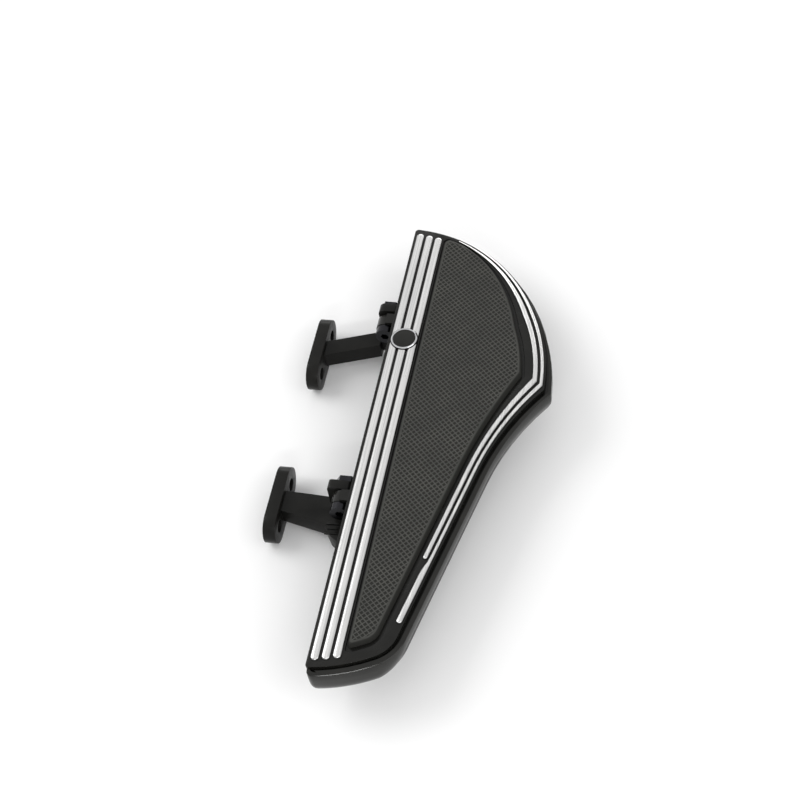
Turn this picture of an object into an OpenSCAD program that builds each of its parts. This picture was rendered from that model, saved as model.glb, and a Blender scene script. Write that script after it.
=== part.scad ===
// Fold-up rider floorboard of a touring motorcycle, for the right-hand side of the machine.
// X points outboard, Y forward along the board and Z up. The origin is the centre of the front
// bracket's two bolt holes, on the face that meets the frame.
// Board shapes are drawn in the board's own frame: x from its inner edge, y from the middle of
// that edge, z from the tops of its ribs.

/* [Board outline] */
// Length of the board along its inner edge
board_len = 428; // [400:1:456]
// Radius of the rounded nose
nose_r = 133.5; // [126:0.5:142]
// How far inboard of the inner edge the nose radius is centred
nose_in = 10; // [4:1:16]
// Angle at which the nose radius meets the wing radius
nose_turn = 40; // [34:1:46]
// Radius of the front edge on its way to the wing tip
wing_r = 180; // [170:1:192]
// Tilt of the straight side to the board's length
side_tilt = 12.5; // [11:0.5:14]
// Distance of the straight side from the middle of the inner edge
side_reach = 100; // [94:1:106]
// Where the straight side starts to sweep outboard, measured along the side
sweep_start = -9; // [-20:1:0]
// Radius of the swept side
sweep_r = 221; // [205:1:236]
// Radius of the rear outer corner
corner_r = 28.5; // [24:0.5:33]
// Distance of that corner's centre from the rear end
corner_in = 39.5; // [36:0.5:44]
// Angle at which the rear corner meets the rear edge
rear_turn = -61.5; // [-66:0.5:-56]
// Radius of the rear edge
rear_r = 125; // [112:1:140]

/* [Insert plate] */
// Height of the ribs above the plate's surface
rib_h = 1.8; // [1.2:0.1:2.4]
// Depth of the pad's recess below the plate's surface
recess_deep = 1.6; // [1.2:0.1:2.2]
// Metal left under the pad
floor_t = 2.2; // [1.8:0.1:3]
// Width of each straight rib along the inner edge
rib_w = 6.3; // [5.4:0.1:7]
// Spacing of the straight ribs
rib_pitch = 8; // [7.6:0.1:8.6]
// Distance of the first straight rib from the inner edge
rib_in = 2.5; // [2:0.1:3]
// How far the straight ribs stop short of the plate's ends
rib_end = 5.2; // [4.5:0.1:6.5]
// Land outside the outer ribs at the wing tip
land_w = 2.6; // [2:0.1:3.2]
// Width of the outermost rib at the wing tip
outer_rib_w = 3.3; // [2.6:0.1:4]
// Groove between the two outer ribs at the wing tip
rib_gap = 1.9; // [1.4:0.1:2.4]
// Width of the second outer rib at the wing tip
second_rib_w = 4.1; // [3.4:0.1:4.8]
// Share of those widths that is left along the straight side
side_taper = 0.8; // [0.7:0.02:0.9]
// Share of those widths that is left at the nose
nose_taper = 0.36; // [0.3:0.02:0.5]
// Width of the recess's rim left between the recess and the wing tip
recess_in = 18.4; // [17:0.1:20]
// The same along the straight side
recess_side = 13.2; // [12:0.1:14.5]
// The same along the rear edge
recess_rear = 8.4; // [7:0.1:10]

/* [Pad] */
// Height of the pad above the ribs
pad_proud = 1.5; // [0.8:0.1:2.5]
// Gap between the pad's foot and the recess's wall
pad_gap = 1.6; // [1:0.1:2.2]
// How far the pad's side leans in from its foot to its top
pad_lean = 1.6; // [1:0.1:2.4]
// Extra gap behind the pad at the rear edge
pad_rear_gap = 3.6; // [2:0.1:5]
// Diameter of the studs that hold the pad
pad_stud_d = 6; // [5:0.5:7]

/* [Badge] */
// Diameter of the badge's bezel
badge_d = 21.5; // [19:0.5:22]
// Position of the badge along the board
badge_y = 93; // [60:1:150]
// Thickness of the badge's bezel
badge_t = 2.2; // [1.8:0.1:3]

/* [Pan] */
// Depth of the pan from its rim to its lower edge
pan_deep = 20; // [18:0.5:23]
// Distance of the rim's top below the ribs
rim_drop = 4; // [3:0.1:5]
// Width of the groove between plate and rim at the wing tip
groove_w = 3.1; // [2.4:0.1:4]
// Width of that groove at the rear
groove_rear = 1.8; // [1.2:0.1:3]
// Thickness of the rim
rim_t = 3.2; // [2.6:0.1:4]
// Thickness of the pan's walls
wall_t = 4; // [3:0.1:5]
// Thickness of the pan's deck
deck_t = 3.2; // [2.6:0.1:4]
// Rounding of the pan's lower edge
skirt_r = 7; // [4:0.5:9]
// Thickness of the ribs under the deck
web_t = 2.5; // [2:0.1:4]
// Depth of the ribs under the deck
web_deep = 9; // [6:0.5:11]

/* [Fixings] */
// Diameter of the plate's threaded studs
stud_d = 6; // [5:0.5:8]
// Thickness of the rubber isolators' flanges
isolator_t = 1.2; // [0.8:0.1:2]
// Diameter of the isolators and their washers
isolator_d = 17; // [15:0.5:20]
// Thickness of the isolators' washers
stud_washer_t = 1.2; // [1:0.1:2]

/* [Hinge] */
// Distance of the hinge axis inboard of the board's inner edge
hinge_in = 8; // [7.5:0.1:9]
// Depth of the hinge axis below the ribs
hinge_drop = 18; // [17:0.1:19]
// Diameter of the pivot bolts' shanks
pivot_d = 10; // [8:0.5:11]
// Wall of the bushings
bushing_t = 1.5; // [1:0.1:2]
// Outer radius of the pan's lugs
lug_r = 8.5; // [8.5:0.1:9]
// Width of the pan's lugs
lug_w = 10; // [9:0.5:14]
// Thickness of the brackets' ears
ear_t = 8; // [6:0.5:10]
// Distance of the front ear behind the nose
front_ear_in = 88; // [82:1:96]
// Distance of the rear ear behind the middle of the board
rear_ear_y = 52; // [45:1:58]
// Thickness of the thrust and spring washers
hinge_washer_t = 1; // [0.8:0.1:1.5]
// Gap on each side of a lug
side_play = 0.3; // [0.2:0.05:0.5]

/* [Brackets] */
// Distance from the frame's face to the hinge axis
arm_reach = 62; // [56:1:70]
// Height of the arms
arm_h = 15; // [12:0.5:18]
// Width of the front arm
arm_w = 15; // [12:0.5:18]
// Depth of the arms' tops below the hinge axis
arm_drop = 16; // [14:0.5:19]
// Angle by which the front arm runs back towards the frame
arm_sweep = 16.5; // [10:0.5:20]
// Length of the arms' feet under the board
foot_len = 26; // [22:0.5:32]
// Spacing of the frame bolts
bolt_gap = 40; // [34:1:50]
// Diameter of the frame bolt holes
bolt_hole_d = 10.5; // [8.5:0.5:12.5]
// Thickness of the brackets' flanges
flange_t = 10; // [8:0.5:12]
// Diameter of the rubber bumpers that the board rests on
bumper_d = 14; // [10:0.5:16]

/* [Hidden] */

black = [0.06, 0.06, 0.06];
rubber_grey = [0.2, 0.2, 0.2];
bright = [0.8, 0.8, 0.8];
zinc = [0.6, 0.61, 0.62];

// Number of straight pieces in each curve of the outline
nose_n = 12;
wing_n = 8;
sweep_n = 6;
corner_n = 6;
rear_n = 7;
round_n = 4;
eps = 0.01;

// Heights in the board's frame
land_z = -rib_h;
recess_z = land_z - recess_deep;
plate_z = recess_z - floor_t;
deck_z = plate_z - isolator_t;
under_z = deck_z - deck_t;
pan_z = -rim_drop - pan_deep;
arm_z = -hinge_drop - arm_drop;
foot_z = arm_z - arm_h;

// Centres of the outline's curves
half_len = board_len/2;
front_ear_y = half_len - front_ear_in;
nose_c = [-nose_in, half_len - sqrt(nose_r*nose_r - nose_in*nose_in)];
wing_c = on_circle(nose_c, nose_r - wing_r, nose_turn);
side_n = [cos(side_tilt), -sin(side_tilt)];
side_t = [sin(side_tilt), cos(side_tilt)];
sweep_c = side_n*(side_reach + sweep_r) + side_t*sweep_start;
corner_y = corner_in - half_len;
corner_c = [(side_reach - corner_r - side_n[1]*corner_y)/side_n[0], corner_y];
rear_c = on_circle(corner_c, corner_r - rear_r, rear_turn);
side_end = side_t*corner_c;

// Edges of the outer ribs, from the plate's edge inwards
rib_edges = [land_w, land_w + outer_rib_w, land_w + outer_rib_w + rib_gap,
             land_w + outer_rib_w + rib_gap + second_rib_w];
nose_rib_x = 42;
second_rib_end = side_end + 69;
outer_rib_end = side_end + 12;
jog_len = 14;
ribs_right = rib_in + 2*rib_pitch + rib_w;
recess_x = ribs_right + 1.5;
badge_x = rib_in + rib_pitch + rib_w/2;
badge_seat_z = land_z + 0.8;

// The pad's outline follows the recess
pad_lead = [0.1, 0.7];
recess_d = [-4, -recess_in, -recess_side, -recess_rear];
pad_foot_d = [recess_d[0] - pad_gap/2, recess_d[1] - pad_gap, recess_d[2] - pad_gap,
              recess_d[3] - pad_gap - pad_rear_gap];
pad_stud_x = recess_x + 12;
pad_studs = [[pad_stud_x, 150], [pad_stud_x, 30], [pad_stud_x, -60], [pad_stud_x, -150], [pad_stud_x + 46, 60]];
pad_stud_gap = 0.2;

// Studs of the plate and their fixings
stud_in = 22;
side_stud_ys = [62, -72];
studs = [[stud_in, half_len - 49], [stud_in, 0], [stud_in, 50 - half_len], [stud_in + 66, side_stud_ys[0]],
         [stud_in + 36, side_stud_ys[1]]];
web_ys = [front_ear_y + 10, side_stud_ys[0] + 30, side_stud_ys[0] - 32, side_stud_ys[1] + 42, side_stud_ys[1] - 38];
isolator_neck_t = 2.6;
isolator_gap = 0.1;
stud_len = isolator_t + deck_t + isolator_t + stud_washer_t + nut_h(stud_d) + 1.5;
stud_washer_z = under_z - isolator_t - stud_washer_t;

// Hinge, measured along Y from an ear's rear face
pivot_gap = 0.05;
bushing_gap = 0.02;
bushing_r = pivot_d/2 + pivot_gap + bushing_t;
lug_front = -hinge_washer_t - side_play;
lug_rear = lug_front - lug_w;
spring_washer_y = lug_rear - side_play - hinge_washer_t;
head_t = 5.5;
pivot_nut_h = pivot_d*0.5;
head_r = pivot_d*0.8;
ear_half = 8;
ear_top = 11.8;
ear_corner = 5;
relief_gap = 1.2;
relief_in = 8.5;
ear_ys = [front_ear_y, -rear_ear_y];

// Brackets
knee_x = -hinge_in - ear_half;
face_x = -hinge_in - arm_reach;
front_run = (knee_x - face_x)*tan(arm_sweep);
front_bolt_y = front_ear_y - arm_w/2 - front_run;
bolt_z = arm_z - arm_h/2;
flange_r = 14;
foot_w = 16;
bumper_x = foot_len - bumper_d/2 - 1;
bumper_y = ear_t - foot_w/2;
bumper_stem_d = 5;
bumper_stem = 7;
rear_arm_w = 18;
rear_run = 10;
rear_base_w = 34;
rear_base_r = 20;
rear_bolt_y = -rear_ear_y - rear_arm_w/2 + rear_run;

function on_circle(c, r, a) = [c[0] + r*cos(a), c[1] + r*sin(a)];
function mix(a, b, t) = a + (b - a)*t;
function angle_of(p, c) = atan2(p[1] - c[1], p[0] - c[0]);
function nut_h(d) = 0.85*d;
function nut_r(d) = 0.94*d;

// Point where the front edge meets the swept side, with both moved outwards by d
function wing_tip(d) =
    let (r1 = wing_r + d, r2 = sweep_r - d, v = sweep_c - wing_c, gap = norm(v), e = v/gap,
         a = (r1*r1 - r2*r2 + gap*gap)/(2*gap), h = sqrt(r1*r1 - a*a))
    wing_c + a*e + h*[-e[1], e[0]];

// Front edge from x_in to the wing tip, moved outwards by d[0] at the nose and d[1] at the tip.
// The change from one to the other takes the share of the edge between lead[0] and lead[1], and
// the first piece is long enough for a corner of radius r.
function front_edge(x_in, d, lead, r = 2) =
    let (a0 = acos((x_in - nose_c[0])/(nose_r + d[0])), a1 = angle_of(wing_tip(d[1]), wing_c),
         b0 = acos((x_in + 1.5*r - nose_c[0])/(nose_r + d[0])),
         run0 = (a0 - nose_turn)*nose_r, run1 = (nose_turn - a1)*wing_r, part = run0/(run0 + run1),
         moved = function(t) mix(d[0], d[1], max(0, min(1, (t - lead[0])/(lead[1] - lead[0])))))
    concat([on_circle(nose_c, nose_r + d[0], a0)],
           [for (i = [0:nose_n - 2]) let (t = i/(nose_n - 1))
                on_circle(nose_c, nose_r + moved(part*t), mix(b0, nose_turn, t))],
           [for (i = [0:wing_n]) let (t = i/wing_n)
                on_circle(wing_c, wing_r + moved(mix(part, 1, t)), mix(nose_turn, a1, t))]);

// Swept side below the wing tip, moved outwards by d[1] at the tip and d[2] at its end
function sweep_edge(d) =
    let (a0 = angle_of(wing_tip(d[1]), sweep_c))
    [for (i = [1:sweep_n]) let (t = i/sweep_n)
        on_circle(sweep_c, sweep_r - mix(d[1], d[2], t), mix(a0, 180 - side_tilt, t))];

// Point on the straight side, u along it and moved outwards by d
function side_point(u, d) = side_n*(side_reach + d) + side_t*u;

// Rear corner and rear edge as far as x_in, with a last piece long enough for a corner of radius r
function rear_edge(x_in, d, r) =
    let (a1 = -acos((x_in - rear_c[0])/(rear_r + d[3])), b1 = -acos((x_in + 1.5*r - rear_c[0])/(rear_r + d[3])))
    concat([for (i = [0:corner_n]) let (t = i/corner_n)
                on_circle(corner_c, corner_r + mix(d[2], d[3], t), mix(-side_tilt, rear_turn, t))],
           [for (i = [1:rear_n - 1]) on_circle(rear_c, rear_r + d[3], mix(rear_turn, b1, i/(rear_n - 1)))],
           [on_circle(rear_c, rear_r + d[3], a1)]);

// Arc of radius r that rounds the corner q between p and s
function corner_arc(p, q, s, r) =
    let (u = (p - q)/norm(p - q), v = (s - q)/norm(s - q), half = acos(u*v)/2,
         c = q + (u + v)/norm(u + v)*r/sin(half), first = q + u*r/tan(half),
         turn = sign((q[0] - p[0])*(s[1] - q[1]) - (q[1] - p[1])*(s[0] - q[0]))*(180 - 2*half))
    [for (i = [0:round_n]) on_circle(c, r, angle_of(first, c) + turn*i/round_n)];

// Closed outline: d moves it outwards at the nose, wing tip, side and rear, and r rounds its
// inner front corner, its wing tip and its inner rear corner
function outline(x_in, d, r, lead = [0, 1]) =
    let (p = concat(front_edge(x_in, d, lead, r[0]), sweep_edge(d), rear_edge(x_in, d, r[2])), n = len(p),
         tip = nose_n + wing_n)
    concat(corner_arc(p[n - 1], p[0], p[1], r[0]), [for (i = [1:tip - 1]) p[i]],
           corner_arc(p[tip - 1], p[tip], p[tip + 1], r[1]), [for (i = [tip + 1:n - 2]) p[i]],
           corner_arc(p[n - 2], p[n - 1], p[0], r[2]));

// Everything below a height
module below(z) translate([-board_len/2, -board_len, z - board_len]) cube([board_len*2, board_len*2, board_len]);

// Half circle of points from p round to s
function end_cap(p, s) =
    let (c = (p + s)/2, r = norm(p - s)/2, a = angle_of(p, c))
    [for (i = [1:7]) on_circle(c, r, a - 180*i/8)];

// Solid through rings of points that lie at the given heights
module loft(rings, heights) {
    n = len(rings[0]);
    last = len(rings) - 1;
    points = [for (k = [0:last]) for (p = rings[k]) [p[0], p[1], heights[k]]];
    sides = [for (k = [0:last - 1]) for (i = [0:n - 1]) let (j = (i + 1) % n, a = k*n, b = a + n)
        each [[b + j, b + i, a + i], [b + j, a + i, a + j]]];
    polyhedron(points, concat([[for (i = [n - 1:-1:0]) i]], sides, [[for (i = [0:n - 1]) last*n + i]]), 4);
}

module board() translate([hinge_in + arm_reach, -front_bolt_y, -bolt_z]) children();

// Cylinder along Y, from y to y + h in the board's frame
module along_y(x, y, z, r, h, sides = 48) translate([x, y + h, z]) rotate([90, 0, 0]) cylinder(r = r, h = h, $fn = sides);

module hinge_tube(y, h, r_out, r_in) difference() {
    along_y(-hinge_in, y, -hinge_drop, r_out, h);
    along_y(-hinge_in, y - 1, -hinge_drop, r_in, h + 2);
}

module hex_nut(d, h) difference() {
    cylinder(r = nut_r(d), h = h, $fn = 6);
    translate([0, 0, -1]) cylinder(r = d/2 + pivot_gap, h = h + 2, $fn = 32);
}

// Cast insert plate: bevelled plate with three straight ribs, two ribs round its outer edge, the
// pad's recess and threaded studs below
function rib_path(edge, end_u) =
    let (d = -rib_edges[edge], s = d*side_taper)
    concat(front_edge(nose_rib_x, [d*nose_taper, d], [0, 1]), sweep_edge([0, d, s]), [side_point(end_u, s)]);

function reversed(list) = [for (i = [len(list) - 1:-1:0]) list[i]];

function second_rib() =
    let (a = rib_path(2, second_rib_end), b = rib_path(3, second_rib_end), n = len(a) - 1)
    concat(a, end_cap(a[n], b[n]), reversed(b));

function outer_rib() =
    let (a = rib_path(0, outer_rib_end), b = rib_path(1, second_rib_end), n = len(a) - 1,
         wide = -rib_edges[2]*side_taper,
         foot = side_point(outer_rib_end, wide), knee = side_point(second_rib_end - jog_len, wide))
    concat(a, end_cap(a[n], foot), [foot, knee], reversed(b));

function straight_rib(i) =
    let (r = rib_w/2, x = rib_in + i*rib_pitch + r,
         y1 = nose_c[1] + sqrt(pow(nose_r - rib_end, 2) - pow(x - nose_c[0], 2)) - r,
         y0 = rear_c[1] - sqrt(pow(rear_r - rib_end, 2) - pow(x - rear_c[0], 2)) + r)
    concat([for (k = [0:8]) on_circle([x, y1], r, 180 - 180*k/8)], [for (k = [0:8]) on_circle([x, y0], r, -180*k/8)]);

module insert_plate() color(black) board() {
    union() {
        difference() {
            union() {
                translate([0, 0, plate_z]) linear_extrude(land_z - plate_z) polygon(outline(0, [0, 0, 0, 0], [3, 2, 2]));
                translate([0, 0, land_z - 0.4]) linear_extrude(rib_h + 0.4) {
                    for (i = [0:2]) polygon(straight_rib(i));
                    polygon(outer_rib());
                    polygon(second_rib());
                }
            }
            translate([0, 0, recess_z]) linear_extrude(5)
                polygon(outline(recess_x, recess_d, [4, 2, 4], pad_lead));
            translate([badge_x, badge_y, land_z - 0.3]) cylinder(d = badge_d + 1.6, h = 5, $fn = 64);
            for (p = pad_studs) translate([p[0], p[1], plate_z - 1])
                cylinder(d = pad_stud_d + 2*pad_stud_gap, h = floor_t + 2, $fn = 32);
        }
        translate([badge_x, badge_y, land_z - 0.5]) cylinder(d = badge_d, h = badge_seat_z - land_z + 0.5, $fn = 64);
        for (p = studs) translate([p[0], p[1], plate_z - stud_len]) cylinder(d = stud_d, h = stud_len + 0.5, $fn = 32);
    }
}

// Moulded rubber pad with leaning sides and studs that plug into the plate
module pad() color(rubber_grey) board() {
    foot_x = recess_x + pad_gap/2;
    top_d = [for (e = pad_foot_d) e - pad_lean];
    shoulder_d = [for (e = pad_foot_d) e - pad_lean*0.6];
    shoulder_z = pad_proud - 1;
    // The first ring lies below the recess's floor, on the line of the pad's side
    low = -pad_lean*0.15;
    union() {
        difference() {
            loft([outline(foot_x + low, [for (e = pad_foot_d) e - low], [4, 2, 5], pad_lead),
                  outline(foot_x + pad_lean*0.6, shoulder_d, [4, 2, 5], pad_lead),
                  outline(foot_x + pad_lean, top_d, [4, 2, 5], pad_lead)],
                 [recess_z - (shoulder_z - recess_z)/4, shoulder_z, pad_proud]);
            below(recess_z);
        }
        for (p = pad_studs) translate([p[0], p[1], recess_z - floor_t + 0.2]) cylinder(d = pad_stud_d, h = floor_t, $fn = 32);
    }
}

// Round medallion: a bezel with a lip, and a plain domed inlay
module badge_bezel() color(bright) board() translate([badge_x, badge_y, badge_seat_z])
    rotate_extrude($fn = 64) polygon([[0, 0], [badge_d/2, 0], [badge_d/2, badge_t - 0.5], [badge_d/2 - 0.5, badge_t],
        [badge_d/2 - 1.2, badge_t], [badge_d/2 - 1.5, badge_t - 0.5], [badge_d/2 - 1.5, 0.8], [0, 0.8]]);

module badge_face() color(black) board() translate([badge_x, badge_y, badge_seat_z + 0.8])
    rotate_extrude($fn = 64) polygon([[0, 0], [badge_d/2 - 1.6, 0], [badge_d/2 - 1.6, badge_t - 1.5],
        [badge_d/4, badge_t - 1.15], [0, badge_t - 1.05]]);

// Rubber isolators in the deck's holes, between plate and deck, with the stud's washer and nut below
module isolators() color(rubber_grey) board() for (p = studs) translate([p[0], p[1], under_z - isolator_t])
    difference() {
        union() {
            cylinder(d = isolator_d, h = isolator_t, $fn = 48);
            cylinder(r = stud_d/2 + isolator_neck_t, h = 2*isolator_t + deck_t - eps, $fn = 48);
            translate([0, 0, isolator_t + deck_t]) cylinder(d = isolator_d, h = isolator_t, $fn = 48);
        }
        translate([0, 0, -1]) cylinder(r = stud_d/2 + isolator_gap, h = 20, $fn = 48);
    }

module stud_washers() color(zinc) board() for (p = studs) translate([p[0], p[1], stud_washer_z]) difference() {
    cylinder(d = isolator_d, h = stud_washer_t, $fn = 48);
    translate([0, 0, -1]) cylinder(r = stud_d/2 + isolator_gap, h = stud_washer_t + 2, $fn = 48);
}

module stud_nuts() color(zinc) board() for (p = studs) translate([p[0], p[1], stud_washer_z - nut_h(stud_d)])
    hex_nut(stud_d, nut_h(stud_d));

// Die-cast pan: rounded skirt, rim and groove round the plate, deck, ribs below, and the hinge lugs
function pan_ring(inset) = outline(2 + inset, [for (e = [0.8, 1.5 + groove_w, groove_w + rim_t - 0.6, groove_rear + rim_t]) e - inset],
                                   [4, 4, 9]);

module pan() color(black) board() {
    skirt_in = skirt_r*0.7 + 3 - wall_t;
    cavity_d = [for (e = [0.8, 1.5 + groove_w, groove_w + rim_t - 0.6, groove_rear + rim_t]) e - wall_t - 0.6];
    difference() {
        union() {
            difference() {
                loft([pan_ring(skirt_r*0.9), pan_ring(skirt_r*0.2), pan_ring(0), pan_ring(0.7)],
                     [pan_z - skirt_r*0.14, pan_z + skirt_r*0.35, pan_z + skirt_r, -rim_drop]);
                below(pan_z);
                translate([0, 0, deck_z]) linear_extrude(20)
                    polygon(outline(-10, [8, groove_w, groove_w - 0.6, groove_rear], [0.1, 2, 0.1]));
                translate([0, 0, pan_z + skirt_r*0.6]) linear_extrude(under_z - pan_z - skirt_r*0.6)
                    polygon(outline(2 + wall_t, cavity_d, [4, 3, 6]));
                translate([0, 0, pan_z - 1]) linear_extrude(skirt_r*0.6 + 2)
                    polygon(outline(2 + wall_t + skirt_in, [for (e = cavity_d) e - skirt_in], [4, 3, 5]));
            }
            intersection() {
                translate([0, 0, under_z - web_deep]) linear_extrude(web_deep + 1)
                    polygon(outline(2 + wall_t/2, [for (e = cavity_d) e + 1], [4, 3, 6]));
                union() {
                    for (y = web_ys) translate([0, y, pan_z]) cube([board_len, web_t, pan_deep]);
                    translate([stud_in + 20, -board_len, pan_z]) cube([web_t, board_len*2, pan_deep]);
                }
            }
            for (y = ear_ys) {
                along_y(-hinge_in, y + lug_rear, -hinge_drop, lug_r, lug_w);
                translate([-hinge_in, y + lug_rear, -hinge_drop - lug_r]) cube([hinge_in + 2 + wall_t, lug_w, lug_r + hinge_drop + deck_z - 1]);
                translate([bumper_x - bumper_d/2, y + bumper_y - bumper_d/2, pan_z]) cube([bumper_d, bumper_d, under_z - pan_z + 1]);
            }
        }
        for (y = ear_ys) {
            along_y(-hinge_in, y + lug_rear - 1, -hinge_drop, bushing_r + bushing_gap, lug_w + 2);
            translate([-5, y - hinge_washer_t - side_play, -60])
                cube([relief_in + 5, ear_t + hinge_washer_t + side_play + pivot_nut_h + 3 + relief_gap, 70]);
        }
        for (p = studs) translate([p[0], p[1], under_z - 1])
            cylinder(r = stud_d/2 + isolator_neck_t + isolator_gap, h = deck_t + 2, $fn = 48);
    }
}

module bushing(y) color([0.72, 0.55, 0.3]) board() hinge_tube(y + lug_rear, lug_w, bushing_r, pivot_d/2 + pivot_gap);
module bushing_front() bushing(front_ear_y);
module bushing_rear() bushing(-rear_ear_y);

// Pivot bolt with a round head behind the lug, and its nut ahead of the ear
module pivot_bolt(y) color(zinc) board() {
    shank = -spring_washer_y + ear_t + pivot_nut_h + 1;
    union() {
        along_y(-hinge_in, y + spring_washer_y, -hinge_drop, pivot_d/2, shank);
        difference() {
            along_y(-hinge_in, y + spring_washer_y - head_t, -hinge_drop, head_r, head_t);
            along_y(-hinge_in, y + spring_washer_y - head_t - 1, -hinge_drop, pivot_d*0.35, head_t*0.6 + 1, 6);
        }
    }
}
module pivot_bolt_front() pivot_bolt(front_ear_y);
module pivot_bolt_rear() pivot_bolt(-rear_ear_y);

module thrust_washer(y) color(bright) board() hinge_tube(y - hinge_washer_t, hinge_washer_t, lug_r - 0.5, pivot_d/2 + pivot_gap);
module thrust_washer_front() thrust_washer(front_ear_y);
module thrust_washer_rear() thrust_washer(-rear_ear_y);

module spring_washer(y) color(zinc) board() hinge_tube(y + spring_washer_y, hinge_washer_t, lug_r - 0.5, pivot_d/2 + pivot_gap);
module spring_washer_front() spring_washer(front_ear_y);
module spring_washer_rear() spring_washer(-rear_ear_y);

module pivot_nut(y) color(zinc) board() translate([-hinge_in, y + ear_t, -hinge_drop]) rotate([-90, 0, 0])
    hex_nut(pivot_d, pivot_nut_h);
module pivot_nut_front() pivot_nut(front_ear_y);
module pivot_nut_rear() pivot_nut(-rear_ear_y);

// Flange with two frame bolt holes, its outer face at face_x
module flange(y) difference() {
    union() {
        for (s = [-1, 1]) translate([face_x, y + s*bolt_gap/2, bolt_z]) rotate([0, 90, 0]) cylinder(r = flange_r, h = flange_t, $fn = 64);
        translate([face_x, y - bolt_gap/2, bolt_z - flange_r]) cube([flange_t, bolt_gap, 2*flange_r]);
    }
    for (s = [-1, 1]) translate([face_x - 1, y + s*bolt_gap/2, bolt_z]) rotate([0, 90, 0])
        cylinder(d = bolt_hole_d, h = flange_t + 2, $fn = 48);
}

// Upright ear: its profile in x and z, thick along y, with the pivot's hole
module ear(y, profile) difference() {
    translate([-hinge_in, y + ear_t, -hinge_drop]) rotate([90, 0, 0]) linear_extrude(ear_t) polygon(profile);
    along_y(-hinge_in, y - 1, -hinge_drop, pivot_d/2 + pivot_gap, ear_t + 2);
}

function front_ear() =
    let (foot = -arm_drop - arm_h + 2)
    concat([[-ear_half, foot], [ear_half, foot]],
           corner_arc([ear_half, 0], [ear_half, ear_top], [0, ear_top], ear_corner/2),
           corner_arc([0, ear_top], [-ear_half, ear_top], [-ear_half, 0], ear_corner));

function rear_ear() =
    let (foot = -arm_drop - arm_h + 2, out = ear_half + 5, high = ear_half + 1)
    concat([[-out, foot], [ear_half, foot]], [for (a = [0:15:75]) on_circle([0, 0], high, a)],
           corner_arc([0, high], [-out, high], [-out, 0], 3));

// Foot under the board, with the bumper's hole
module foot(y) difference() {
    translate([knee_x, y - foot_w + ear_t, foot_z]) cube([foot_len - knee_x, foot_w, arm_h]);
    translate([bumper_x, y + bumper_y, arm_z - bumper_stem - 1]) cylinder(d = bumper_stem_d + 0.1, h = bumper_stem + 2, $fn = 32);
}

module bracket_front() color(black) board() union() {
    ear(front_ear_y, front_ear());
    foot(front_ear_y);
    translate([0, 0, foot_z]) linear_extrude(arm_h) polygon([
        [knee_x + 1, front_ear_y - arm_w], [knee_x + 1, front_ear_y], [knee_x, front_ear_y],
        [face_x + flange_t/2, front_ear_y - front_run], [face_x + flange_t/2, front_ear_y - front_run - arm_w],
        [knee_x, front_ear_y - arm_w]]);
    flange(front_bolt_y);
}

// The rear bracket is wider behind its ear, with a rounded inner corner and cast ridges on top
module bracket_rear() color(black) board() union() {
    y = -rear_ear_y;
    base_x = knee_x - 6;
    ear(y, rear_ear());
    foot(y);
    translate([0, 0, foot_z]) linear_extrude(arm_h) polygon(concat(
        [[base_x, y], [foot_len - 12, y], [foot_len - 12, y - foot_w + ear_t], [-2, y - rear_base_w]],
        corner_arc([0, y - rear_base_w], [base_x, y - rear_base_w], [base_x, y], rear_base_r)));
    for (k = [0:2]) translate([base_x + 1, y - 18 - 4.5*k, arm_z - 1]) cube([18 - k, 2.5, 2]);
    translate([0, 0, foot_z]) linear_extrude(arm_h) polygon([
        [base_x + 1, y - rear_arm_w], [base_x + 1, y + ear_t], [base_x, y + ear_t],
        [face_x + flange_t/2, y + rear_run], [face_x + flange_t/2, y + rear_run - rear_arm_w], [base_x, y - rear_arm_w]]);
    flange(rear_bolt_y);
}

// Rubber bumper with a stem, on which the board's stop boss rests
module stop_bumper(y) color(rubber_grey) board() translate([bumper_x, y + bumper_y, 0]) union() {
    translate([0, 0, arm_z]) cylinder(d = bumper_d, h = pan_z - arm_z - side_play, $fn = 48);
    translate([0, 0, arm_z - bumper_stem]) cylinder(d = bumper_stem_d, h = bumper_stem + 1, $fn = 32);
}
module stop_bumper_front() stop_bumper(front_ear_y);
module stop_bumper_rear() stop_bumper(-rear_ear_y);

pan();
insert_plate();
pad();
badge_bezel();
badge_face();
isolators();
stud_washers();
stud_nuts();
bushing_front();
bushing_rear();
bracket_front();
bracket_rear();
pivot_bolt_front();
pivot_bolt_rear();
thrust_washer_front();
thrust_washer_rear();
spring_washer_front();
spring_washer_rear();
pivot_nut_front();
pivot_nut_rear();
stop_bumper_front();
stop_bumper_rear();
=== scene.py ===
"""Looks of the fold-up rider floorboard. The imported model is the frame: this script gives its nodes
their materials, replaces the ones that need finer forms, and sets the light and the camera."""
import math

import bmesh
import bpy
from mathutils import Matrix, Vector


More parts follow.
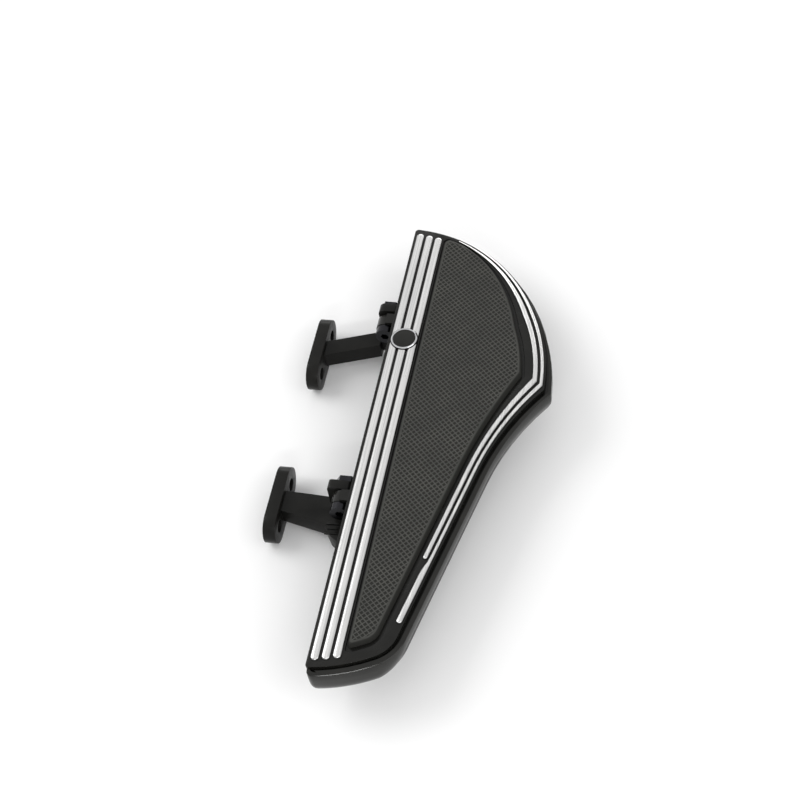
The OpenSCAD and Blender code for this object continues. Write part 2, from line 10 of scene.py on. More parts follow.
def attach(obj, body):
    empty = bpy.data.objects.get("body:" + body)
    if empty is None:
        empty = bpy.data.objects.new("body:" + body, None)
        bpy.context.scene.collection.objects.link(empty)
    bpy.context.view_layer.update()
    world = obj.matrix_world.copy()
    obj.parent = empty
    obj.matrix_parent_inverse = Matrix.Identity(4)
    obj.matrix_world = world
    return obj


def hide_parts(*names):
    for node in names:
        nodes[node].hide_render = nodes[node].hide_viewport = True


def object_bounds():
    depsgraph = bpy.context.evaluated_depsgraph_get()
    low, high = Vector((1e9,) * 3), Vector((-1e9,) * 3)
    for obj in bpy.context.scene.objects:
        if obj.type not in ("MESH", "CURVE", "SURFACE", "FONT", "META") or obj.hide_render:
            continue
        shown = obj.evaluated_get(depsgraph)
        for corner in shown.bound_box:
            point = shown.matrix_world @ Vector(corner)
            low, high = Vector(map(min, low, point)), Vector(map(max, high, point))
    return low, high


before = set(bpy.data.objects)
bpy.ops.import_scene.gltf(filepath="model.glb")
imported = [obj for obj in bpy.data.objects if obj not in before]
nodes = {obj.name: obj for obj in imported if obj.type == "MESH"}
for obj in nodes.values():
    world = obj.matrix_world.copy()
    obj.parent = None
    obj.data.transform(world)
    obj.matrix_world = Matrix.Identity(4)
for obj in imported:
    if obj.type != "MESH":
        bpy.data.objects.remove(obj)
scene = bpy.context.scene


def as_lists(corners):
    return [[float(value) for value in corner] for corner in corners]


cad_box = as_lists(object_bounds())

# The board's own frame in the row's frame, in metres: x from its inner edge, y from the middle of
# that edge and z from the tops of its ribs. Sizes of the board are in millimetres in that frame.
BOARD = Vector((0.070, -0.102505, 0.0415))
MM = 0.001


# Materials
class Shader:
    """A material with a Principled surface and short calls for the nodes that feed it."""

    SOCKETS = {"color": "Base Color", "metallic": "Metallic", "roughness": "Roughness", "normal": "Normal",
               "coat": "Coat Weight", "coat_roughness": "Coat Roughness", "specular": "Specular IOR Level"}

    def __init__(self, name):
        self.material = bpy.data.materials.new(name)
        self.material.use_nodes = True
        self.tree = self.material.node_tree
        self.bsdf = self.tree.nodes["Principled BSDF"]
        self.where = self.add("ShaderNodeTexCoord").outputs["Object"]

    def add(self, kind, inputs=None, **settings):
        node = self.tree.nodes.new(kind)
        for key, value in settings.items():
            setattr(node, key, value)
        for key, value in (inputs or {}).items():
            self.put(node.inputs[key], value)
        return node

    def put(self, socket, value):
        if isinstance(value, bpy.types.NodeSocket):
            self.tree.links.new(value, socket)
        else:
            socket.default_value = value

    def surface(self, **values):
        for key, value in values.items():
            self.put(self.bsdf.inputs[self.SOCKETS[key]], value)

    def math(self, operation, a, b):
        return self.add("ShaderNodeMath", {0: a, 1: b}, operation=operation).outputs[0]

    def noise(self, scale, detail, roughness=0.55, vector=None):
        inputs = {"Vector": vector or self.where, "Scale": scale, "Detail": detail, "Roughness": roughness}
        return self.add("ShaderNodeTexNoise", inputs).outputs["Fac"]

    def stretch(self, scale):
        return self.add("ShaderNodeMapping", {"Vector": self.where, "Scale": scale}).outputs["Vector"]

    def height(self):
        return self.add("ShaderNodeSeparateXYZ", {"Vector": self.where}).outputs["Z"]

    def spread(self, value, from_min, from_max, to_min=0.0, to_max=1.0):
        inputs = {"Value": value, "From Min": from_min, "From Max": from_max,
                  "To Min": to_min, "To Max": to_max}
        return self.add("ShaderNodeMapRange", inputs).outputs["Result"]

    def mix(self, factor, a, b):
        return self.add("ShaderNodeMix", {0: factor, 6: a, 7: b}, data_type="RGBA").outputs[2]

    def bump(self, height, distance, strength, normal=None):
        inputs = {"Height": height, "Distance": distance, "Strength": strength}
        if normal is not None:
            inputs["Normal"] = normal
        return self.add("ShaderNodeBump", inputs).outputs["Normal"]


def grey(level, tint=(1.0, 1.0, 1.0)):
    return (level * tint[0], level * tint[1], level * tint[2], 1.0)


def gloss_paint(name, level, roughness, grain, specular=0.16):
    """Black paint over a casting: warm in tint, with faint orange peel and an uneven sheen."""
    s = Shader(name)
    cloud = s.noise(38.0, 4.0)
    fine = s.noise(900.0, 2.0)
    peel = s.bump(s.noise(420.0, 2.0), 0.00006 * grain, 0.6)
    dark = grey(level * 0.75, (1.0, 1.0, 0.88))
    pale = grey(level * 1.3, (1.0, 0.98, 0.86))
    sheen = s.math("ADD", cloud, s.math("MULTIPLY", fine, 0.3))
    s.surface(color=s.mix(s.spread(cloud, 0.35, 0.7), dark, pale),
              roughness=s.spread(sheen, 0.4, 0.9, roughness * 0.8, roughness * 1.3),
              normal=s.bump(fine, 0.00001 * grain, 0.5, peel),
              specular=specular, coat=0.12, coat_roughness=0.06)
    return s


def machined(name, level, roughness, grain, shoulder, crown):
    """Machined aluminium with fine lines along the cutter's way. Its colour holds painted shade across
    a rib's rounded top: dark at the lower of the two given heights and full bright at the upper one."""
    s = Shader(name)
    lines = s.noise(1.0, 5.0, 0.7, s.stretch(grain))
    cloud = s.noise(30.0, 3.0)
    streaks = s.mix(s.spread(lines, 0.35, 0.65), grey(level * 0.7), grey(level, (1.0, 0.99, 0.975)))
    # Painted shade: the colour darkens down the rib's shoulders, as light falls off across its crown
    s.surface(color=s.mix(s.spread(s.height(), shoulder, crown), grey(level * 0.3), streaks),
              metallic=1.0,
              roughness=s.spread(s.math("ADD", lines, cloud), 0.7, 1.3, roughness * 0.8, roughness * 1.25),
              normal=s.bump(lines, 0.00002, 0.6))
    return s


def rubber(name, level, roughness, dimples=None):
    """Moulded rubber: matt, with fine mould grain and traces of dust. dimples are the heights between
    which its colour goes from painted shade, dark down in the mould's dimples, to its full colour on top."""
    s = Shader(name)
    cloud = s.noise(55.0, 5.0, 0.6)
    grain = s.noise(2600.0, 2.0)
    clean = grey(level * 0.88, (0.99, 1.0, 0.93))
    dusty = grey(level * 1.25, (1.0, 1.0, 0.9))
    color = s.mix(s.spread(cloud, 0.35, 0.75), clean, dusty)
    if dimples:
        # Painted shade: darker down in the dimples between the mesh's bars
        color = s.mix(s.spread(s.height(), *dimples), grey(level * 0.34, (1.0, 1.0, 0.9)), color)
    s.surface(color=color,
              roughness=s.spread(s.math("ADD", cloud, grain), 0.6, 1.4, roughness - 0.06, roughness + 0.08),
              normal=s.bump(grain, 0.00004, 0.5),
              specular=0.14)
    return s


def plated(name, color, roughness):
    """Plated or sintered metal with faint mottling."""
    s = Shader(name)
    cloud = s.noise(160.0, 4.0)
    fine = s.noise(1800.0, 2.0)
    s.surface(color=s.mix(s.spread(cloud, 0.3, 0.75), grey(0.82, color), (*color, 1.0)),
              metallic=1.0,
              roughness=s.spread(s.math("ADD", cloud, fine), 0.7, 1.35, roughness * 0.75, roughness * 1.3),
              normal=s.bump(fine, 0.00001, 0.5))
    return s


pan_paint = gloss_paint("pan_gloss_black", 0.012, 0.2, 1.0)
plate_paint = gloss_paint("insert_gloss_black", 0.008, 0.24, 0.7, 0.15)
bracket_paint = gloss_paint("bracket_satin_black", 0.007, 0.34, 1.6, 0.08)
inlay = gloss_paint("badge_inlay", 0.01, 0.12, 0.3)
rib_metal = machined("rib_machined_bright", 0.76, 0.27, (900.0, 9.0, 900.0),
                     BOARD.z - 0.75 * MM, BOARD.z - 0.12 * MM)
pad_rubber = rubber("pad_rubber", 0.062, 0.6, (BOARD.z + 0.95 * MM, BOARD.z + 1.45 * MM))
damper_rubber = rubber("damper_rubber", 0.03, 0.55)
zinc = plated("zinc_steel", (0.5, 0.51, 0.52), 0.3)
black_zinc = plated("black_zinc_steel", (0.03, 0.03, 0.033), 0.24)
bronze = plated("sintered_bronze", (0.55, 0.38, 0.19), 0.38)
chrome = plated("bezel_chrome", (0.56, 0.56, 0.57), 0.1)

# The nodes that stay as they are, by the start of their names
NODE_LOOKS = {"pan": pan_paint, "badge_face": inlay, "badge_bezel": chrome,
              "isolators": damper_rubber, "stop_bumper": damper_rubber,
              "bushing": bronze, "stud_washers": zinc, "stud_nuts": zinc,
              "pivot_": black_zinc, "thrust_": black_zinc, "spring_": black_zinc}
for node, thing in nodes.items():
    for start, look in NODE_LOOKS.items():
        if node.startswith(start):
            thing.data.materials.clear()
            thing.data.materials.append(look.material)

# The board's outline, from the same sizes as the frame's solids
HALF_LEN = 214.0
NOSE_R, NOSE_IN, NOSE_TURN = 133.5, 10.0, 40.0
WING_R = 180.0
SIDE_TILT, SIDE_REACH = 12.5, 100.0
SWEEP_START, SWEEP_R = -9.0, 221.0
CORNER_R, CORNER_IN = 28.5, 39.5
REAR_TURN, REAR_R = -61.5, 125.0
# Number of straight pieces in each curve, and in each rounded corner
NOSE_N, WING_N, SWEEP_N, CORNER_N, REAR_N, ROUND_N = 26, 16, 18, 12, 14, 5

# Heights of the insert plate's surface, recess and underside, and of the pan's rim
LAND_Z, RECESS_Z, PLATE_Z, RIM_Z = -1.8, -3.4, -5.6, -4.0


def mix(a, b, t):
    return a + (b - a) * t


def share(value, start, end):
    """How far value lies between start and end, from 0 to 1."""
    return max(0.0, min(1.0, (value - start) / (end - start)))


def on_circle(centre, radius, angle):
    turn = math.radians(angle)
    return centre + Vector((radius * math.cos(turn), radius * math.sin(turn)))


def angle_of(point, centre):
    return math.degrees(math.atan2(point.y - centre.y, point.x - centre.x))


def arc_cos(value):
    return math.degrees(math.acos(value))


ORIGIN = Vector((0.0, 0.0))
NOSE_C = Vector((-NOSE_IN, HALF_LEN - math.sqrt(NOSE_R ** 2 - NOSE_IN ** 2)))
WING_C = on_circle(NOSE_C, NOSE_R - WING_R, NOSE_TURN)
SIDE_N = on_circle(ORIGIN, 1.0, -SIDE_TILT)
SIDE_T = Vector((-SIDE_N.y, SIDE_N.x))
SWEEP_C = SIDE_N * (SIDE_REACH + SWEEP_R) + SIDE_T * SWEEP_START
CORNER_Y = CORNER_IN - HALF_LEN
CORNER_C = Vector(((SIDE_REACH - CORNER_R - SIDE_N.y * CORNER_Y) / SIDE_N.x, CORNER_Y))
REAR_C = on_circle(CORNER_C, CORNER_R - REAR_R, REAR_TURN)
SIDE_END = SIDE_T.dot(CORNER_C)


def wing_tip(front, side):
    """Where the front edge, moved out by front, meets the swept side, moved out by side."""
    r1, r2 = WING_R + front, SWEEP_R - side
    between = SWEEP_C - WING_C
    gap = between.length
    along = between / gap
    a = (r1 * r1 - r2 * r2 + gap * gap) / (2 * gap)
    return WING_C + along * a + Vector((-along.y, along.x)) * math.sqrt(r1 * r1 - a * a)


def front_edge(x_in, d, lead):
    """Nose and wing from x_in to the tip, moved out by d[0] at the nose and d[1] at the tip. The
    change takes the share of the edge between lead[0] and lead[1]."""
    a0 = arc_cos((x_in - NOSE_C.x) / (NOSE_R + d[0]))
    a1 = angle_of(wing_tip(d[1], d[2]), WING_C)
    run0, run1 = (a0 - NOSE_TURN) * NOSE_R, (NOSE_TURN - a1) * WING_R
    part = run0 / (run0 + run1)

    def moved(t):
        return mix(d[0], d[1], share(t, *lead))

    points = []
    for t in [i / NOSE_N for i in range(NOSE_N)]:
        points.append(on_circle(NOSE_C, NOSE_R + moved(part * t), mix(a0, NOSE_TURN, t)))
    for t in [i / WING_N for i in range(WING_N + 1)]:
        points.append(on_circle(WING_C, WING_R + moved(mix(part, 1.0, t)), mix(NOSE_TURN, a1, t)))
    return points


def sweep_edge(d):
    """Swept side behind the tip, moved out by d[2] there and easing to d[3] at its end."""
    a0 = angle_of(wing_tip(d[1], d[2]), SWEEP_C) % 360
    a1 = 180 - SIDE_TILT
    steps = [i / SWEEP_N for i in range(1, SWEEP_N + 1)]
    return [on_circle(SWEEP_C, SWEEP_R - mix(d[2], d[3], t * (2 - t)), mix(a0, a1, t)) for t in steps]


def side_point(u, d):
    """Point on the straight side, u along it and moved out by d."""
    return SIDE_N * (SIDE_REACH + d) + SIDE_T * u


def rear_edge(x_in, d):
    """Rear corner and rear edge as far as x_in, moved out by d[3] at the side and d[4] at the rear."""
    a1 = -arc_cos((x_in - REAR_C.x) / (REAR_R + d[4]))
    points = []
    for t in [i / CORNER_N for i in range(CORNER_N + 1)]:
        points.append(on_circle(CORNER_C, CORNER_R + mix(d[3], d[4], t), mix(-SIDE_TILT, REAR_TURN, t)))
    for t in [i / REAR_N for i in range(1, REAR_N + 1)]:
        points.append(on_circle(REAR_C, REAR_R + d[4], mix(REAR_TURN, a1, t)))
    return points


def corner_arc(p, q, s, radius):
    """Points that round the corner q between p and s, as far as the two sides have room."""
    u, v = (p - q).normalized(), (s - q).normalized()
    half = math.acos(max(-1.0, min(1.0, u.dot(v)))) / 2
    room = 0.9 * min((p - q).length, (s - q).length)
    radius = min(radius, room * math.tan(half))
    centre = q + (u + v).normalized() * radius / math.sin(half)
    first = angle_of(q + u * radius / math.tan(half), centre)
    side = (q.x - p.x) * (s.y - q.y) - (q.y - p.y) * (s.x - q.x)
    turn = math.copysign(180 - 2 * math.degrees(half), side)
    return [on_circle(centre, radius, first + turn * i / ROUND_N) for i in range(ROUND_N + 1)]


def outline(x_in, d, r, lead=(0.0, 1.0)):
    """Closed outline: d moves it out at the nose, ahead of the wing tip, behind it, along the side
    and at the rear, and r rounds its inner front corner, wing tip and inner rear corner."""
    p = front_edge(x_in, d, lead) + sweep_edge(d) + rear_edge(x_in, d)
    tip = NOSE_N + WING_N
    return (corner_arc(p[-1], p[0], p[2], r[0]) + p[3:tip - 1]
            + corner_arc(p[tip - 2], p[tip], p[tip + 2], r[1]) + p[tip + 2:-3]
            + corner_arc(p[-4], p[-1], p[0], r[2]))


def shifted(d, step):
    return [value + step for value in d]


def circle(x, y, radius, count=64):
    return [on_circle(Vector((x, y)), radius, -360 * i / count) for i in range(count)]


# Meshes
def at(x, y, z):
    return BOARD + Vector((x, y, z)) * MM


def add_skin(bm, rows):
    """Closes rows of vertices into a skin with two end faces, and returns the faces between them,
    row by row."""
    count = len(rows[0])
    sides = []
    for low, high in zip(rows, rows[1:]):
        for i in range(count):
            j = (i + 1) % count
            sides.append(bm.faces.new((low[i], low[j], high[j], high[i])))
    bm.faces.new(rows[0][::-1])
    bm.faces.new(rows[-1])
    return sides


def add_loft(bm, rings, heights):
    add_skin(bm, [[bm.verts.new(at(p[0], p[1], z)) for p in ring] for ring, z in zip(rings, heights)])


def new_piece(name, bm, looks):
    bmesh.ops.recalc_face_normals(bm, faces=bm.faces)
    mesh = bpy.data.meshes.new(name)
    bm.to_mesh(mesh)
    bm.free()
    piece = bpy.data.objects.new(name, mesh)
    scene.collection.objects.link(piece)
    for look in looks:
        mesh.materials.append(look.material)
    return piece


def loft(name, rings, heights, looks=()):
    bm = bmesh.new()
    add_loft(bm, rings, heights)
    return new_piece(name, bm, looks)


def apply_modifiers(piece):
    graph = bpy.context.evaluated_depsgraph_get()
    done = bpy.data.meshes.new_from_object(piece.evaluated_get(graph))
    piece.modifiers.clear()
    old = piece.data
    piece.data = done
    bpy.data.meshes.remove(old)


def cut(piece, tools):
    for tool in tools:
        boolean = piece.modifiers.new("cut", "BOOLEAN")
        boolean.operation = "DIFFERENCE"
        boolean.solver = "EXACT"
        boolean.object = tool
    apply_modifiers(piece)
    for tool in tools:
        bpy.data.objects.remove(tool)


def round_edges(piece, width, angle):
    """Rounds the edges that are sharper than angle, with three facets of width in millimetres."""
    bevel = piece.modifiers.new("edges", "BEVEL")
    bevel.width = width * MM
    bevel.segments = 3
    bevel.limit_method = "ANGLE"
    bevel.angle_limit = math.radians(angle)
    apply_modifiers(piece)


def settle(piece, angle, body, replaced=None):
    """Smooths the piece apart from edges sharper than angle, and gives it its place in the frame."""
    piece.data.shade_smooth()
    piece.data.set_sharp_from_angle(angle=math.radians(angle))
    if replaced:
        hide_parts(replaced)
    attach(piece, body)


# Insert plate: rounded casting with the pad's recess, crowned machined ribs, badge seat and studs.
# Here and below, a name with _X is the inner edge of an outline, _D its five moves, _ROUND its three
# radii and _LEAD its lead, as outline() has them.
PLATE_ROUND = [3, 2, 2]
RECESS_X, RECESS_DRAFT = 26.3, 0.4
RECESS_D, RECESS_ROUND = [-3.0, -17.0, -20.6, -10.9, -9.0], [4, 2, 4]
PAD_LEAD = (0.1, 0.7)
BADGE_X, BADGE_Y, BADGE_R = 13.65, 93.0, 10.75
BADGE_GAP, BADGE_SEAT_Z, POCKET_DEEP = 0.7, -1.0, 0.3
EDGE_ROUND = 0.7
# Top of the recess's tool, where it is wider by its draft, and foot and top of the badge's bore
RECESS_TOP, BORE_FOOT, BORE_TOP = 1.0, -4.0, 5.0
# Edges of the two outer ribs ahead of the wing tip, from the plate's edge inwards
RIB_EDGES = [1.6, 4.4, 6.3, 10.4]
# How those widths change behind the wing tip, along the side and towards the nose
TIP_SPREAD, TIP_SHIFT, SIDE_TAPER, NOSE_TAPER = 1.3, 0.9, 0.9, 0.3
RIB_LEAD = (0.0, 0.6)
NOSE_RIB_X = 40.0
SECOND_RIB_END, OUTER_RIB_END = SIDE_END + 69, SIDE_END + 12
# Length of the outermost rib's widening, and the distance that its inner edge then has
JOG, WIDE_RIB = 14.0, 6.2
SIDE_STEPS, STRAIGHT_STEPS = 24, 12
# First straight rib, spacing and width of the straight ribs, and how far they stop short
RIB_IN, RIB_PITCH, RIB_W, RIB_SHORT = 2.5, 8.0, 6.3, 5.2
# A rib's section from its edge inwards: distance from the edge, and height from the rib's top
RIB_SECTION = [(0.0, -2.1), (0.05, -0.95), (0.4, -0.42), (1.1, -0.14), (2.1, 0.0)]
# Rounded ends of the ribs: sections in each, the last one's angle and how far the top slopes down
CAP_STEPS, CAP_ANGLE, CAP_SLOPE = 6, 86.0, 1.5
PAINTED, MACHINED = 0, 1
STUDS = [(22, 165), (22, 0), (22, -164), (88, 62), (58, -72)]
STUD_R, STUD_END, STUD_CHAMFER = 3.0, -19.0, 0.5
# How far pieces of the casting reach into each other
SEATED = 0.3


def rib_line(edge, end_u, wide=None):
    """One long edge of an outer rib, as far as end_u along the side. Once the second rib has ended,
    the edge moves in to the distance wide."""
    d = RIB_EDGES[edge]
    side = d * SIDE_TAPER
    moved = [-d * NOSE_TAPER, -d, -d * TIP_SPREAD - TIP_SHIFT, -side]
    line = front_edge(NOSE_RIB_X, moved, RIB_LEAD) + sweep_edge(moved)
    for i in range(1, SIDE_STEPS + 1):
        u = mix(SWEEP_START, end_u, i / SIDE_STEPS)
        t = share(u, SECOND_RIB_END, SECOND_RIB_END - JOG)
        line.append(side_point(u, -mix(side, wide or side, t * t * (3 - 2 * t))))
    return line


def straight_rib(index):
    x0 = RIB_IN + index * RIB_PITCH
    half = RIB_W / 2
    middle = x0 + half
    top = NOSE_C.y + math.sqrt((NOSE_R - RIB_SHORT) ** 2 - (middle - NOSE_C.x) ** 2) - half
    low = REAR_C.y - math.sqrt((REAR_R - RIB_SHORT) ** 2 - (middle - REAR_C.x) ** 2) + half
    ys = [mix(top, low, i / STRAIGHT_STEPS) for i in range(STRAIGHT_STEPS + 1)]
    return [Vector((x0, y)) for y in ys], [Vector((x0 + RIB_W, y)) for y in ys]


def rib_section(a, b, squeeze=1.0, drop=0.0):
    """A rib's section between its edge points a and b, narrowed to squeeze and lowered by drop."""
    middle = (a + b) / 2
    across = (b - a).normalized()
    half = (a - b).length / 2 * squeeze
    fit = min(1.0, half * 0.9 / RIB_SECTION[-1][0])
    near = [(-half + inset * fit, height) for inset, height in RIB_SECTION]
    far = [(half - inset * fit, height) for inset, height in reversed(RIB_SECTION)]
    return [(middle + across * x, max(z - drop, RIB_SECTION[0][1])) for x, z in near + far]


def rib_end(a, b, inner_a, inner_b):
    """Sections that close a rib beyond its last edge points a and b, round and sloping down."""
    way = ((a + b) / 2 - (inner_a + inner_b) / 2).normalized()
    reach = (a - b).length / 2
    sections = []
    for k in range(1, CAP_STEPS + 1):
        turn = math.radians(CAP_ANGLE * k / CAP_STEPS)
        step = way * reach * math.sin(turn)
        drop = CAP_SLOPE * (1 - math.cos(turn)) ** 1.5
        sections.append(rib_section(a + step, b + step, math.cos(turn), drop))
    return sections


def add_rib(bm, a, b):
    """A crowned rib between the edge lines a and b, machined bright on top."""
    sections = (rib_end(a[0], b[0], a[1], b[1])[::-1] + [rib_section(p, q) for p, q in zip(a, b)]
                + rib_end(a[-1], b[-1], a[-2], b[-2]))
    count = len(sections[0])
    rows = [[bm.verts.new(at(p.x, p.y, z)) for p, z in section] for section in sections]
    for index, face in enumerate(add_skin(bm, rows)):
        face.material_index = MACHINED if 1 <= index % count < count - 2 else PAINTED


def make_ribs(looks):
    bm = bmesh.new()
    for index in range(3):
        add_rib(bm, *straight_rib(index))
    add_rib(bm, rib_line(2, SECOND_RIB_END), rib_line(3, SECOND_RIB_END))
    add_rib(bm, rib_line(0, OUTER_RIB_END), rib_line(1, OUTER_RIB_END, WIDE_RIB))
    ribs = new_piece("insert_ribs", bm, looks)
    bore = circle(BADGE_X, BADGE_Y, BADGE_R + BADGE_GAP)
    cut(ribs, [loft("bore", [bore, bore], [BORE_FOOT, BORE_TOP])])
    return ribs


def make_casting(looks):
    edge = outline(0.0, [0.0] * 5, PLATE_ROUND)
    plate = loft("insert_casting", [edge, edge], [PLATE_Z, LAND_Z], looks)
    floor_ring = outline(RECESS_X, RECESS_D, RECESS_ROUND, PAD_LEAD)
    top_ring = outline(RECESS_X - RECESS_DRAFT, shifted(RECESS_D, RECESS_DRAFT), RECESS_ROUND, PAD_LEAD)
    pocket = circle(BADGE_X, BADGE_Y, BADGE_R + BADGE_GAP)
    cut(plate, [loft("recess", [floor_ring, top_ring], [RECESS_Z, RECESS_TOP]),
                loft("pocket", [pocket, pocket], [LAND_Z - POCKET_DEEP, BORE_TOP])])
    round_edges(plate, EDGE_ROUND, 40)
    return plate


def make_insert():
    looks = (plate_paint, rib_metal)
    ribs = make_ribs(looks)
    plate = make_casting(looks)
    bm = bmesh.new()
    for part in (plate, ribs):
        bm.from_mesh(part.data)
        bpy.data.objects.remove(part)
    seat = circle(BADGE_X, BADGE_Y, BADGE_R)
    add_loft(bm, [seat, seat], [LAND_Z - 2 * SEATED, BADGE_SEAT_Z])
    for x, y in STUDS:
        tip, shank = circle(x, y, STUD_R - STUD_CHAMFER, 32), circle(x, y, STUD_R, 32)
        add_loft(bm, [tip, shank, shank], [STUD_END, STUD_END + STUD_CHAMFER, PLATE_Z + SEATED])
    settle(new_piece("insert_plate_cast", bm, looks), 38, "board", "insert_plate")


# Rubber pad: leaning sides, a low smooth border and a moulded diamond mesh between
PAD_X, PAD_D, PAD_ROUND = 27.1, [-4.1, -19.2, -23.5, -13.8, -13.0], [4, 2, 5]
# Heights of the bars' tops, the border and the dimples' floor
PAD_TOP, BORDER_Z, DIMPLE_Z = 1.5, 1.28, 0.95
# How far inside the pad's foot the border and the mesh begin
PAD_LEAN, MESH_IN = 1.6, 3.1
# The pad's profile from its foot: distance inside its outline, and height
PAD_PROFILE = [(0.0, RECESS_Z), (1.152, 0.4), (1.44, 0.9), (PAD_LEAN + 0.2, BORDER_Z - 0.1),
               (PAD_LEAN + 0.7, BORDER_Z), (MESH_IN, BORDER_Z), (MESH_IN + 0.2, DIMPLE_Z)]
# The mesh's bars: spacing, half the width at foot and top, and how far they reach into the pad and
# its border
MESH_PITCH, BAR_FOOT, BAR_TOP = 3.31, 0.62, 0.34
BAR_SUNK, BAR_REACH = 0.1, 0.15
# The two sets of bars: direction across them, and how far their tops lie below the pad's top
BAR_SETS = ((45, 0.02), (-45, 0.05))
SHORTEST_BAR = 1.0


def pad_ring(inset):
    return outline(PAD_X + inset, shifted(PAD_D, -inset), PAD_ROUND, PAD_LEAD)


def crossings(ring, normal, distance):
    """Where the line of points whose dot product with normal is distance crosses the closed ring."""
    along = Vector((-normal.y, normal.x))
    found = []
    for p, q in zip(ring, ring[1:] + ring[:1]):
        a, b = p.dot(normal) - distance, q.dot(normal) - distance
        if (a < 0) != (b < 0):
            found.append(p.lerp(q, a / (a - b)).dot(along))
    return sorted(found)


def add_bar(bm, normal, distance, ends, top):
    """A bar of the mesh across normal, at that distance from the board's origin."""
    along = Vector((-normal.y, normal.x))
    foot = DIMPLE_Z - BAR_SUNK
    section = [(-BAR_FOOT, foot), (BAR_FOOT, foot), (BAR_TOP, top), (-BAR_TOP, top)]
    rows = []
    for end in ends:
        middle = normal * distance + along * end
        rows.append([bm.verts.new(at(*(middle + normal * x), z)) for x, z in section])
    add_skin(bm, rows)


def make_pad():
    bm = bmesh.new()
    add_loft(bm, [pad_ring(inset) for inset, z in PAD_PROFILE], [z for inset, z in PAD_PROFILE])
    limit = pad_ring(MESH_IN - BAR_REACH)
    for turn, drop in BAR_SETS:
        normal = on_circle(ORIGIN, 1.0, turn)
        reach = [p.dot(normal) / MESH_PITCH for p in limit]
        for k in range(math.ceil(min(reach)), math.floor(max(reach)) + 1):
            hits = crossings(limit, normal, k * MESH_PITCH)
            for ends in zip(hits[0::2], hits[1::2]):
                if ends[1] - ends[0] > SHORTEST_BAR:
                    add_bar(bm, normal, k * MESH_PITCH, ends, PAD_TOP - drop)
    settle(new_piece("pad_moulded", bm, (pad_rubber,)), 35, "board", "pad")


# Skirt of the pan: a rounded shell over the pan's wall, cut out for the brackets' ears
PAN_X, PAN_D = 1.2, [0.8, 5.9, 6.2, 6.2, 6.5]
PAN_ROUND, PAN_LEAD = [4, 3, 4.5], (0.6, 1.0)
# How much of the side's inset the skirt has at the nose and ahead of the wing tip, and how much of
# the rear's inset it has along the inner edge
NOSE_SHARE, WING_SHARE, INNER_SHARE = 0.7, 0.85, 0.5
# The skirt's section from below: height, and distance inside its outline at the side and the rear
SKIRT = [(-28.8, 9.6, 6.0), (-27.8, 8.0, 3.8), (-26.0, 6.3, 2.2), (-23.5, 4.6, 1.1), (-20.5, 2.7, 0.45),
         (-17.0, 1.0, 0.15), (-12.0, 0.1, 0.0), (RIM_Z - 0.9, 0.0, 0.0), (RIM_Z - 0.25, 0.15, 0.15),
         (RIM_Z + 0.1, 0.55, 0.55)]
# The hollow inside it, in the same way
HOLLOW = [(-30.0, 10.2, 6.6), (-22.0, 6.4, 3.6), (-14.0, 3.2, 3.2), (0.0, 3.1, 3.1)]
# Rear faces of the brackets' ears, and the room round each ear along x, y and z
EARS_Y = (126.0, -52.0)
EAR_ROOM_X, EAR_ROOM_Y, EAR_ROOM_Z = (-6.0, 8.5), (-1.3, 18.5), (-60.0, 10.0)


def skirt_ring(side, rear):
    d = [PAN_D[0] - side * NOSE_SHARE, PAN_D[1] - side * WING_SHARE, PAN_D[2] - side, PAN_D[3] - side,
         PAN_D[4] - rear]
    return outline(PAN_X + rear * INNER_SHARE, d, PAN_ROUND, PAN_LEAD)


def skirt_loft(name, section, looks=()):
    rings = [skirt_ring(side, rear) for height, side, rear in section]
    return loft(name, rings, [height for height, side, rear in section], looks)


def ear_room(ear_y):
    (x0, x1), (y0, y1) = EAR_ROOM_X, [ear_y + room for room in EAR_ROOM_Y]
    corners = [(x0, y0), (x0, y1), (x1, y1), (x1, y0)]
    return loft("relief", [corners, corners], EAR_ROOM_Z)


def make_skirt():
    piece = skirt_loft("pan_skirt", SKIRT, (pan_paint,))
    cut(piece, [skirt_loft("hollow", HOLLOW)] + [ear_room(y) for y in EARS_Y])
    settle(piece, 32, "board")


# Brackets: width of their rounded edges, distance in metres at which vertices are one, and angle at
# which faces are flat
CAST_ROUND, WELD, FLAT_ANGLE = 1.1, 2e-6, 0.6


def make_bracket(node, name):
    """A bracket with the rounded edges of a casting, from the frame's own solid."""
    bm = bmesh.new()
    bm.from_mesh(nodes[node].data)
    bmesh.ops.remove_doubles(bm, verts=bm.verts, dist=WELD)
    bmesh.ops.dissolve_limit(bm, angle_limit=math.radians(FLAT_ANGLE), verts=bm.verts, edges=bm.edges)
    piece = new_piece(name, bm, (bracket_paint,))
    round_edges(piece, CAST_ROUND, 35)
    settle(piece, 35, "brackets", node)


make_insert()
make_pad()
make_skirt()
for end in ("front", "rear"):
    make_bracket("bracket_" + end, "bracket_cast_" + end)

# Floor: white under the object's shadow, and for the camera as white as the background further off.
# Its half width, its place just under the object, and the distances between which it turns white.
FLOOR_HALF = 3.0
FLOOR_PLACE = (0.1, -0.1, cad_box[0][2] - 0.0005)
WHITE_FROM, WHITE_TO = 0.4, 1.1


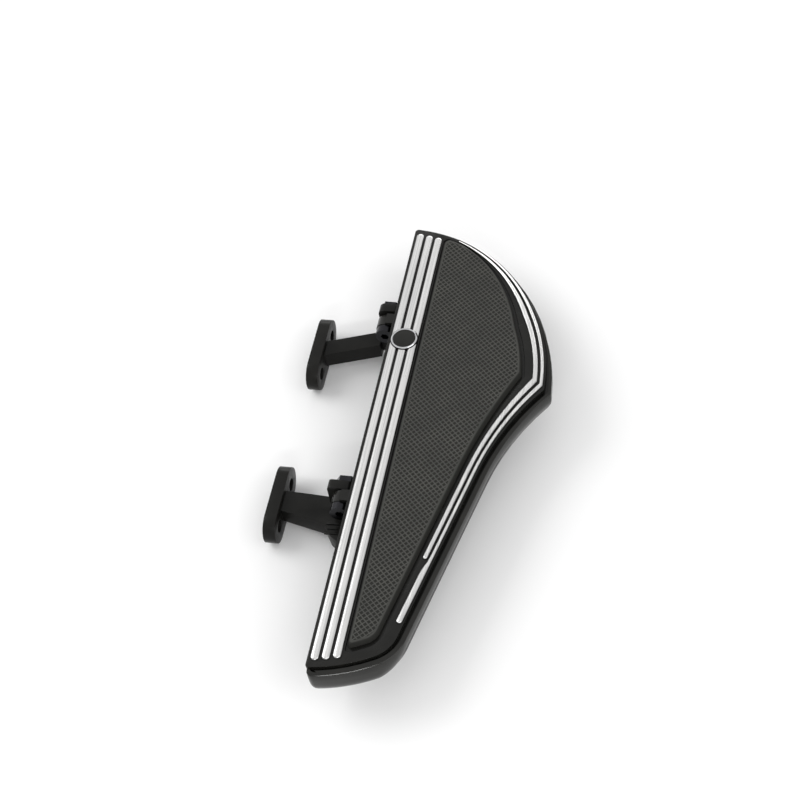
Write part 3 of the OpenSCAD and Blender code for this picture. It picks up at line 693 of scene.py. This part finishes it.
def floor_material():
    s = Shader("floor_white")
    s.surface(color=grey(0.9), roughness=0.9)
    far = s.add("ShaderNodeVectorMath", {0: s.where}, operation="LENGTH").outputs["Value"]
    fade = s.add("ShaderNodeMapRange", {"Value": far, "From Min": WHITE_FROM, "From Max": WHITE_TO},
                 interpolation_type="SMOOTHSTEP").outputs["Result"]
    to_camera = s.add("ShaderNodeLightPath").outputs["Is Camera Ray"]
    white = s.add("ShaderNodeEmission", {"Color": grey(1.0), "Strength": 1.0})
    blend = s.add("ShaderNodeMixShader", {"Fac": s.math("MULTIPLY", fade, to_camera),
                                          1: s.bsdf.outputs["BSDF"], 2: white.outputs["Emission"]})
    s.put(s.tree.nodes["Material Output"].inputs["Surface"], blend.outputs["Shader"])
    return s.material


def make_floor():
    mesh = bpy.data.meshes.new("floor")
    h = FLOOR_HALF
    mesh.from_pydata([(-h, -h, 0), (h, -h, 0), (h, h, 0), (-h, h, 0)], [], [(0, 1, 2, 3)])
    mesh.materials.append(floor_material())
    floor = bpy.data.objects.new("floor", mesh)
    floor.location = FLOOR_PLACE
    scene.collection.objects.link(floor)


# Lights: place and size in metres, and power in watts. All of them point at one place on the board.
LIGHTS = {"key": ((-1.6, 0.2, 1.6), (1.5, 1.5), 22), "fill": ((1.6, -0.8, 1.2), (1.6, 1.2), 12),
          "strip": ((0.3, 1.9, 0.7), (2.2, 0.5), 10), "edge": ((0.4, -1.5, 1.0), (0.9, 0.07), 6)}
LIGHT_AIM = BOARD + Vector((0.04, 0.0, 0.0))


def area_light(name, place, size, watts):
    light = bpy.data.lights.new(name, "AREA")
    light.shape = "RECTANGLE"
    light.size, light.size_y = size
    light.energy = watts
    thing = bpy.data.objects.new(name, light)
    thing.location = place
    thing.rotation_euler = (LIGHT_AIM - Vector(place)).to_track_quat("-Z", "Y").to_euler()
    scene.collection.objects.link(thing)


# Strength of the white world for diffuse light. The camera and reflections see it at full white.
DIFFUSE_LEVEL = 0.68


def make_world():
    world = bpy.data.worlds.new("studio")
    scene.world = world
    world.use_nodes = True
    tree = world.node_tree
    background = tree.nodes["Background"]
    background.inputs["Color"].default_value = grey(1.0)
    rays = tree.nodes.new("ShaderNodeLightPath")
    seen = rays.outputs["Is Camera Ray"]
    for other in ("Is Glossy Ray", "Is Transmission Ray"):
        either = tree.nodes.new("ShaderNodeMath")
        either.operation = "MAXIMUM"
        tree.links.new(seen, either.inputs[0])
        tree.links.new(rays.outputs[other], either.inputs[1])
        seen = either.outputs[0]
    level = tree.nodes.new("ShaderNodeMapRange")
    level.inputs["To Min"].default_value = DIFFUSE_LEVEL
    tree.links.new(seen, level.inputs["Value"])
    tree.links.new(level.outputs["Result"], background.inputs["Strength"])


# The photograph's camera: its aim, its angles in degrees, its distance in metres and its lens
AIM = BOARD + Vector((0.0225, 0.031, 0.0))
AZIMUTH, ELEVATION, ROLL = 20.40, 51.66, -11.64
DISTANCE = 1.549
LENS, SENSOR = 87.9, 36.0


def make_camera():
    data = bpy.data.cameras.new("camera")
    data.sensor_fit = "HORIZONTAL"
    data.sensor_width = SENSOR
    data.lens = LENS
    data.clip_end = 20.0
    camera = bpy.data.objects.new("camera", data)
    scene.collection.objects.link(camera)
    azimuth, elevation, roll = (math.radians(angle) for angle in (AZIMUTH, ELEVATION, ROLL))
    level = Vector((-math.sin(azimuth), math.cos(azimuth), 0.0))
    right = Vector((math.cos(azimuth), math.sin(azimuth), 0.0))
    ahead = level * math.cos(elevation) - Vector((0.0, 0.0, math.sin(elevation)))
    up = level * math.sin(elevation) + Vector((0.0, 0.0, math.cos(elevation)))
    side = math.cos(roll) * right + math.sin(roll) * up
    top = -math.sin(roll) * right + math.cos(roll) * up
    turned = Matrix((side, top, -ahead)).transposed()
    camera.matrix_world = Matrix.Translation(AIM - ahead * DISTANCE) @ turned.to_4x4()
    scene.camera = camera


make_floor()
for name, settings in LIGHTS.items():
    area_light(name, *settings)
make_world()
make_camera()
scene.view_settings.view_transform = "Standard"
